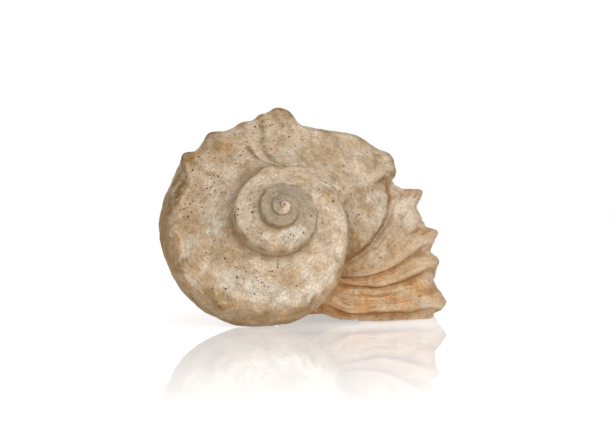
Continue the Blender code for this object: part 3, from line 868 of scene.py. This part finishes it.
# %% Marks on the skin
PITS = [(2, 1.0), (5, 0.6)]   # grid steps over which hollows are measured, and their weight
PIT_DIRT_AND_SHADE = 1.9                # dirt and painted shade for each mm of hollow
SUTURE = (0.10, 0.8)          # how wide the suture holds dirt and painted shade, in places, and how much
FOLD_GAP = [(1.6, 1.5, 0.4), (0.9, 0.6, 0.9)]    # degrees behind a fold's edge, half width, dirt and painted shadow
OLD_LIP_GAP = (1.8, 2.2, 0.9)
OLD_LIP_GAP_IN = (1.0, 0.9, 0.9)     # the same near the suture, where the gap is narrow and deep
LAST_STRIP = (20.4, 21.4)     # growth lines over which the dull strip at the lip begins
# how much darker the last strip at the lip is made
STRIP_DARKENING = 0.22
GAP_DIRT_AND_SHADOW = 1.5                # dirt and painted shadow in the gaps on the ramp
FOLD_EDGE_HIGHLIGHT = (1.0, 1.7, 0.9)      # degrees before a fold's edge, half width, strength of its painted highlight
ORANGE_FROM = (-14, 6)        # growth lines over which the lip's orange comes up
FIRST_ORANGE = 0.12           # part of it that is there from the old lip on
RAGGED = [(6.0, 0.5), (2.4, 0.35), (1.1, 0.2)]   # width in mm and size of the areas' ragged edges

pit = sum(weight * hollowness(skin, reach) for reach, weight in PITS)
phi_of = line_angle(T, S, LIP[0])
turned_in = T + stray
edges = [crest for _, crest, high in FOLDS if high > 1]
# painted shadow with some dirt under the overhanging edges of the folds and the old lip
gap = sum(much * hump(turned_in, edge + after, wide) for edge in edges for after, wide, much in FOLD_GAP)
after, wide, much = OLD_LIP_GAP
gap = gap + much * hump(turned_in, OLD_LIP + after, wide)
after, wide, much = OLD_LIP_GAP_IN
gap = gap + much * hump(turned_in, OLD_LIP + after, wide) * (1 - step(S, 0.3, 0.55))
gap = gap + STRIP_DARKENING * step(turned_in, *LAST_STRIP)

# dirt and painted shade in hollows, along the suture and in the gaps under the edges; the last strip is only
# made darker
crevice_dirt_and_shade = np.clip(pit, 0, 1) * PIT_DIRT_AND_SHADE + SUTURE[1] * hump(S, 0.0, SUTURE[0]) * step(T, -1700, -1400)
crevice_dirt_and_shade = crevice_dirt_and_shade + GAP_DIRT_AND_SHADOW * gap * (1 - step(S, 0.95, 1.25))
# the pearly tip and the ridge of the young shoulder are rubbed clean and take less of the painted shade
crevice_dirt_and_shade = np.clip(crevice_dirt_and_shade, 0, 1) * step(T, -1400, -1300) * (1 - 0.5 * hump(S, 1.0, 0.14) * (T > OLD_LIP))

# what stands out is rubbed pale and gets a painted highlight, and the outside of a fold just
# before its edge gets a painted highlight too
before, wide, much = FOLD_EDGE_HIGHLIGHT
fold_edge_highlight = sum(hump(turned_in, edge - before, wide) for edge in edges) * (1 - step(S, 0.9, 1.1))
ridge_wear_and_highlight = np.clip(np.clip(-pit * 2.0, 0, 1) + much * fold_edge_highlight, 0, 1)

orange = step(T, *ORANGE_FROM) * (1 - step(S, 1.0, 1.15))
young = step(T, OLD_LIP - 0.6, OLD_LIP + 0.6) * (FIRST_ORANGE + (1 - FIRST_ORANGE) * orange)
# the orange has gone from most of the shoulder and of the last strip
young = young * (1 - 0.65 * hump(S, 1.0, 0.17)) * (1 - 0.55 * step(turned_in, *LAST_STRIP))
ragged = sum(grain(skin, wide, 61 + k) * part for k, (wide, part) in enumerate(RAGGED))
print("orange on", round(100 * float((young > 0.3).mean())), "% of the grid")


def patches(spots):
    """How strongly each point belongs to the ragged patches of a list."""
    total = np.zeros_like(S)
    for turned, place, wide, tall, strong in spots:
        near = 1.1 - np.hypot((phi_of - turned) / wide, (S - place) / tall) * 0.75 + 0.55 * ragged
        total = np.maximum(total, strong * step(near, 0.15, 0.65))
    return total


# %% The skin with its marks
marks = {
    "crevice_dirt_and_shade": crevice_dirt_and_shade,
    "ridge_wear_and_highlight": ridge_wear_and_highlight,
    "young": young,
    "old": 1 - step(T, -760, -520),
    "dirty": patches(DIRT_SPOTS),
    "ochre": patches(OCHRE_SPOTS),
    "bare": patches(PALE_SPOTS),
    "bored": patches(BORED_SPOTS),
    # darker below the shoulder: painted shade
    "side": step(S, 1.04, 1.16) * (1 - step(T, -110, -60)),
    "pearl": 1 - step(T, -1400, -1290),
    "sheet": np.stack([along, across, np.zeros_like(along)], axis=-1) * MM,
}
covered = (T[:-1, :-1] < COVERED_FROM) & (S[:-1, :-1] > COVERED_BELOW)
shell_skin = grid_piece("shell_skin", skin, marks, keep=~covered)

# %% [markdown]
# ## Mouth: rim, lining and columella
#
# Underneath, the lip is a thick worn edge, and behind it the smooth lining runs up into the
# dark round the columella, the pillar that all the whorls share. The lining is the same
# surface function pushed in by the wall's thickness. The rim joins the two along the floor.

# %% Lining
WALL = 3.2                    # mm
HOLLOW_BACK = 190.0           # degrees that the lining runs back
LINING_COLUMNS = 120
LINING_CROWD = 1.3            # how much closer its columns stand near the rim
LINING_ROWS = [(0.0, 1.0, 34), (1.0, 2.0, 50)]
LINING_DENTS = (5.0, 0.12)    # width and height in mm
RIM_SEARCH = (-8, 6, 57)      # degrees from the last line searched for the floor, and in how many steps

lining_places = rows_of(LINING_ROWS)
lining_lip = lip_angles(lining_places)
first, last, steps = RIM_SEARCH
search = np.linspace(LAST_LINE + first, LAST_LINE + last, steps)
T_in, S_in = np.meshgrid(search, lining_places, indexing="ij")
heights = surface(T_in, S_in, for_grid(lining_lip, T_in), WALL)[..., 2]
inner_end = [meets_floor(search, row) for row in heights.T]
inner_end = np.array([LAST_LINE if end is None else end for end in inner_end])

back = np.linspace(0, 1, LINING_COLUMNS)[:, None] ** LINING_CROWD
T_in = inner_end + (LAST_LINE - HOLLOW_BACK - inner_end) * back
S_in = np.broadcast_to(lining_places, T_in.shape)
lining = surface(T_in, S_in, for_grid(lining_lip, T_in), WALL)
wide, high = LINING_DENTS
lining = lining + high * grain(lining, wide, 71)[..., None]
print("lining runs back", HOLLOW_BACK, "degrees")

# %% Rim and mouth
RIM_COLUMNS = 8
RIM_SOFT = 0.3                # mm over which its foot is rubbed flat
DARK_END = (40.0, 0.9)        # mm down the axis where the lining closes, and how nearly it gets there

outer_edge = on_floor(surface(np.full_like(lining_places, LAST_LINE), lining_places, lining_lip))
rim = [outer_edge + (lining[0] - outer_edge) * w for w in np.linspace(0, 1, RIM_COLUMNS, endpoint=False)]
mouth = on_floor(np.concatenate([rim, lining]), soft=RIM_SOFT)
depth, nearly = DARK_END
deep = mouth[-1] + (TIP + AXIS * depth - mouth[-1]) * nearly
mouth = np.concatenate([mouth, deep[None]])
inside = np.concatenate([np.zeros((RIM_COLUMNS, 1)), back, [[1.0]]])
inside = np.broadcast_to(inside, mouth.shape[:2])
shell_mouth = grid_piece("shell_mouth", mouth, {"inside": inside})

# %% [markdown]
# ## Columella
#
# The pillar in the middle is solid and faintly twisted, thickest half way down, and it ends in
# a point in the canal. A tube round the shell's own axis, with a ripple that winds down it,
# gives that. Where the canal opens it is soiled like the outside.

# %% Columella
COLUMELLA = [                 # depth and radius, mm
    (14, 3.0), (30, 8.0), (45, 10.5), (60, 10.6), (72, 8.6), (84, 5.6),
    (92, 3.2), (96, 1.6), (97.6, 0.6), (98.0, 0.01),
]
PILLAR_RINGS = 90
PILLAR_CROWD = 0.7            # how much closer the rings stand at the far end
PILLAR_TWIST = (0.05, 4.0)    # part of the radius by which it ripples, and degrees of twist for each mm
PILLAR_DENTS = (3.0, 0.15)    # width and height in mm
SOILED = (66, 88)             # mm deep, from where dirt from the canal covers it

top, end = COLUMELLA[0][0], COLUMELLA[-1][0]
depths = top + (end - top) * np.linspace(0, 1, PILLAR_RINGS) ** PILLAR_CROWD
D, A = np.meshgrid(depths, np.linspace(0, 360, 73), indexing="ij")
ripple, twist = PILLAR_TWIST
pillar = in_room(A, smooth_curve(D, COLUMELLA) * (1 + ripple * np.cos(np.radians(A - twist * D))), D)
wide, high = PILLAR_DENTS
pillar = on_floor(pillar + high * grain(pillar, wide, 81)[..., None])
inside = np.clip(1 - D / CANAL_DEPTH, 0, 1)
columella = grid_piece("columella", pillar, {"inside": inside, "soiled": step(D, *SOILED)})

# %% [markdown]
# ## The weathered finish
#
# Old shell is chalk: matt, pale, and never one colour. The finish starts from a tan that
# drifts between cream and sand, then adds rubbed chalky areas, ochre stains, painted shade on
# the side below the shoulder, the orange of the youngest growth, pale ridges with painted
# highlights, brown dirt and painted shade in crevices, brown dirt in patches, and the small dark
# holes that boring sponges and worms have left.

# %% Colours and tools of the finish
CHALK = (0.74, 0.65, 0.53)
CREAM = (0.70, 0.57, 0.42)
SAND = (0.515, 0.385, 0.25)
GREY_SAND = (0.36, 0.29, 0.205)
# darker tan for the painted shade below the shoulder
SIDE_SHADE_TAN = (0.40, 0.28, 0.16)
PEARL = (0.66, 0.50, 0.35)
OCHRE = (0.46, 0.275, 0.12)
ORANGE = (0.62, 0.305, 0.105)
PEACH = (0.63, 0.41, 0.22)
# brown of dirt and painted shade, and a warmer one on the orange lip
DIRT_AND_SHADE_BROWN = (0.22, 0.12, 0.032)
WARM_DIRT_AND_SHADE = (0.33, 0.15, 0.042)
RUST = (0.27, 0.14, 0.06)
HOLE = (0.05, 0.03, 0.015)

shell_finish, tree = empty_material("weathered_shell")
here = wire("TexCoord").outputs["Object"]


def vectors(operation, first, second):
    return wire("VectorMath", {0: first, 1: second}, operation=operation).outputs[0]


def mark(name):
    """One of the marks that the mesh carries; 0 where it has none of that name."""
    return wire("Attribute", attribute_name=name).outputs["Fac"]


def lumps(size, detail=4.0, roughness=0.6, vector=None, distortion=0.0, offset=0.0):
    """Noise whose lumps are size mm wide."""
    place = vectors("ADD", vector or here, (offset, offset * 0.7, offset * 1.3))
    node = wire("TexNoise", {"Vector": place, "Scale": 1.0 / (size * MM), "Detail": detail,
                             "Roughness": roughness, "Distortion": distortion})
    return node.outputs["Fac"]


def patchy(size, low, high, to_low=0.0, to_high=1.0, **noise):
    """Smooth patches: to_low where the lumps are under low, to_high where they are over high."""
    return ramped(lumps(size, **noise), low, high, to_low, to_high)


def times(first, *others):
    for other in others:
        first = formula("MULTIPLY", first, other)
    return first


def plus(first, *others):
    for other in others:
        first = formula("ADD", first, other)
    return first


def shaded(colour, factor):
    """Colour times a plain number."""
    grey = wire("CombineColor", {0: factor, 1: factor, 2: factor}).outputs[0]
    return blended(1.0, colour, grey, kind="MULTIPLY")


def finished(colour, rough, specular, height, strength, distance):
    """The last nodes of a shell finish, with small bumps up to distance mm high."""
    bump = wire("Bump", {"Height": height, "Strength": strength, "Distance": distance * MM})
    shader = wire("BsdfPrincipled", {"Base Color": colour, "Roughness": rough,
                                     "Normal": bump.outputs[0], "Specular IOR Level": specular})
    wire("OutputMaterial", {"Surface": shader.outputs[0]})
    print("finish", len(tree.nodes), "nodes")


# %% Chalk, stains and the orange lip
drift = patchy(13, 0.34, 0.60, detail=8, roughness=0.62)
colour = blended(drift, SAND, CREAM)
colour = blended(times(mark("old"), 0.8), colour, GREY_SAND)
# painted shade: the side below the shoulder is darkened
colour = blended(times(mark("side"), 0.6), colour, SIDE_SHADE_TAN)
bare = times(mark("bare"), patchy(5, 0.35, 0.55, detail=6, offset=0.2), 0.90)
colour = blended(bare, colour, CHALK)

stain = patchy(6, 0.48, 0.64, 0.0, 0.5, detail=6, offset=0.3)
ochre = times(mark("ochre"), patchy(4, 0.34, 0.56, detail=6, offset=0.5), 0.9)
stain = formula("MAXIMUM", stain, ochre)
colour = blended(times(stain, ramped(mark("old"), 0, 1, 1.0, 0.4)), colour, OCHRE)

warm = patchy(8, 0.42, 0.58, detail=2.5, offset=0.6, distortion=0.4)
lip_colour = blended(warm, PEACH, ORANGE)
lip_colour = blended(patchy(3.4, 0.54, 0.68, 0.0, 0.6, detail=3, offset=1.7), lip_colour, CREAM)
colour = blended(times(mark("young"), 0.85), colour, lip_colour)
colour = blended(times(mark("pearl"), 0.9), colour, PEARL)

# %% [markdown]
# ## Streaks, speckles, dirt and painted shade
#
# Growth lines and cords show as faint streaks even where they are worn flat. Noise on the sheet
# of distances that travels with the mesh follows the shell round, and squeezed in one direction
# it comes out as streaks along the other. Pale ridges take a painted highlight. Dirt and painted
# shade lie over all of it, so they are mixed in last.

# %% Streaks, speckles, dirt and painted shade
sheet = wire("Attribute", attribute_name="sheet").outputs["Vector"]
streak_space = vectors("MULTIPLY", sheet, (1.0, 0.09, 1.0))
cord_space = vectors("MULTIPLY", sheet, (0.07, 1.0, 1.0))

bands = patchy(0.55, 0.34, 0.66, 0.89, 1.09, detail=3, vector=cord_space)
streaks = patchy(1.1, 0.32, 0.68, -0.06, 0.05, detail=3, vector=streak_space)
streaks = plus(1.0, times(streaks, ramped(mark("young"), 0.0, 0.6, 1.0, 2.2)))
mottle = patchy(4.0, 0.34, 0.66, 0.88, 1.14, detail=10, roughness=0.75)
speckle = patchy(0.9, 0.34, 0.66, 0.83, 1.16, detail=3, roughness=0.7, offset=0.8)
colour = shaded(colour, times(bands, streaks, mottle, speckle))
# ridges turn cream: partly rubbed pale, partly painted highlight
colour = blended(times(mark("ridge_wear_and_highlight"), ramped(mark("young"), 0.2, 1.0, 0.5, 0.22)), colour, CREAM)

# painted shade with dirt in hollows, gaps and along the suture; flecks and patches are dirt
dirt_and_shade = times(mark("crevice_dirt_and_shade"), patchy(2.5, 0.3, 0.6, 0.55, 1.0, offset=0.9))
flecks = patchy(2.2, 0.56, 0.68, 0.0, 0.6, detail=7, roughness=0.75, offset=1.1)
dirt_and_shade = formula("MAXIMUM", dirt_and_shade, flecks)
patch = times(mark("dirty"), patchy(1.7, 0.34, 0.54, 0.45, 1.0, detail=7, roughness=0.72, offset=1.9))
dirt_and_shade = formula("MAXIMUM", dirt_and_shade, patch)
soil_and_shade = blended(ramped(mark("young"), 0.0, 0.08), DIRT_AND_SHADE_BROWN, WARM_DIRT_AND_SHADE)
colour = blended(dirt_and_shade, colour, soil_and_shade)

# %% [markdown]
# ## Bored holes and small bumps
#
# Sponges and worms drill round holes. Each cell of a Voronoi pattern gets one or none, by
# chance, thickest where the shell is bored most, with a rusty halo round a dark middle. The
# same holes then go into the bumps, with the grain of the chalk and the finest ribs.

# %% Bored holes and small bumps
BORES = [                     # width of a cell in mm, hole in parts of it from least to most, shift
    (1.2, 0.09, 0.26, 0.0), (2.3, 0.07, 0.18, 3.1),
]
hole = halo = 0.0
for cell, narrow, widest, shift in BORES:
    moved = vectors("ADD", here, (shift, shift, shift))
    cells = wire("TexVoronoi", {"Vector": moved, "Scale": 1.0 / (cell * MM), "Randomness": 1.0})
    chances = wire("SeparateColor", {0: cells.outputs["Color"]}).outputs
    wanted = ramped(mark("bored"), 0.0, 1.0, 0.90, 0.22)
    wanted = plus(wanted, patchy(4, 0.38, 0.56, 0.22, -0.05, offset=1.4 + shift))
    width = ramped(chances[1], 0.2, 1.0, narrow, widest)
    width = times(formula("GREATER_THAN", chances[0], wanted), width)
    edge = formula("SUBTRACT", width, cells.outputs["Distance"])
    hole = formula("MAXIMUM", hole, ramped(edge, -0.01, 0.03))
    halo = formula("MAXIMUM", halo, ramped(edge, -0.11, 0.03, 0.0, 0.5))
colour = blended(times(halo, ramped(mark("bored"), 0, 1, 0.2, 1.0)), colour, RUST)
colour = blended(times(hole, 0.85), colour, HOLE)

ribs = ramped(mark("young"), 0.0, 0.6, 0.25, 1.3)
height = plus(lumps(0.9, detail=7, roughness=0.75), times(lumps(2.6, detail=5), 1.3),
              times(lumps(0.7, detail=3, vector=streak_space), ribs),
              times(lumps(0.45, detail=3, vector=cord_space), 0.45))
height = formula("SUBTRACT", height, times(hole, 1.6))
rough = patchy(3.0, 0.3, 0.7, 0.62, 0.86, offset=2.0)
finished(colour, rough, specular=0.3, height=height, strength=0.9, distance=0.42)
shell_skin.data.materials.append(shell_finish)

# %% [markdown]
# ## Mouth finish
#
# The lining was smooth and glossy in life, and where the sea hasn't ground it, it still shines
# a little and is orange, paler at the worn rim. Only the columella carries soil, so one finish
# serves both pieces: a mark that a mesh doesn't have counts as 0.

# %% Mouth finish
MOUTH_PALE = (0.62, 0.47, 0.32)
MOUTH_ORANGE = (0.70, 0.36, 0.14)
CANAL_SOIL = (0.24, 0.16, 0.09)

mouth_finish, tree = empty_material("mouth_lining")
here = wire("TexCoord").outputs["Object"]
warmth = times(ramped(mark("inside"), 0.0, 0.35), patchy(10, 0.3, 0.6, 0.5, 1.0))
colour = blended(warmth, MOUTH_PALE, MOUTH_ORANGE)
colour = blended(times(mark("soiled"), 0.85), colour, CANAL_SOIL)
colour = shaded(colour, patchy(1.8, 0.3, 0.7, 0.88, 1.06, detail=5))
finished(colour, 0.42, specular=0.4, height=lumps(1.2, detail=4), strength=0.3, distance=0.3)
for piece in (shell_mouth, columella):
    piece.data.materials.append(mouth_finish)

# %% [markdown]
# ## Put it together
#
# The shell is one body, so every piece rides on it and stands in for the imported solid.

# %% Put it together
for piece in (shell_skin, shell_mouth, columella):
    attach(piece, "root")
    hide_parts("shell")
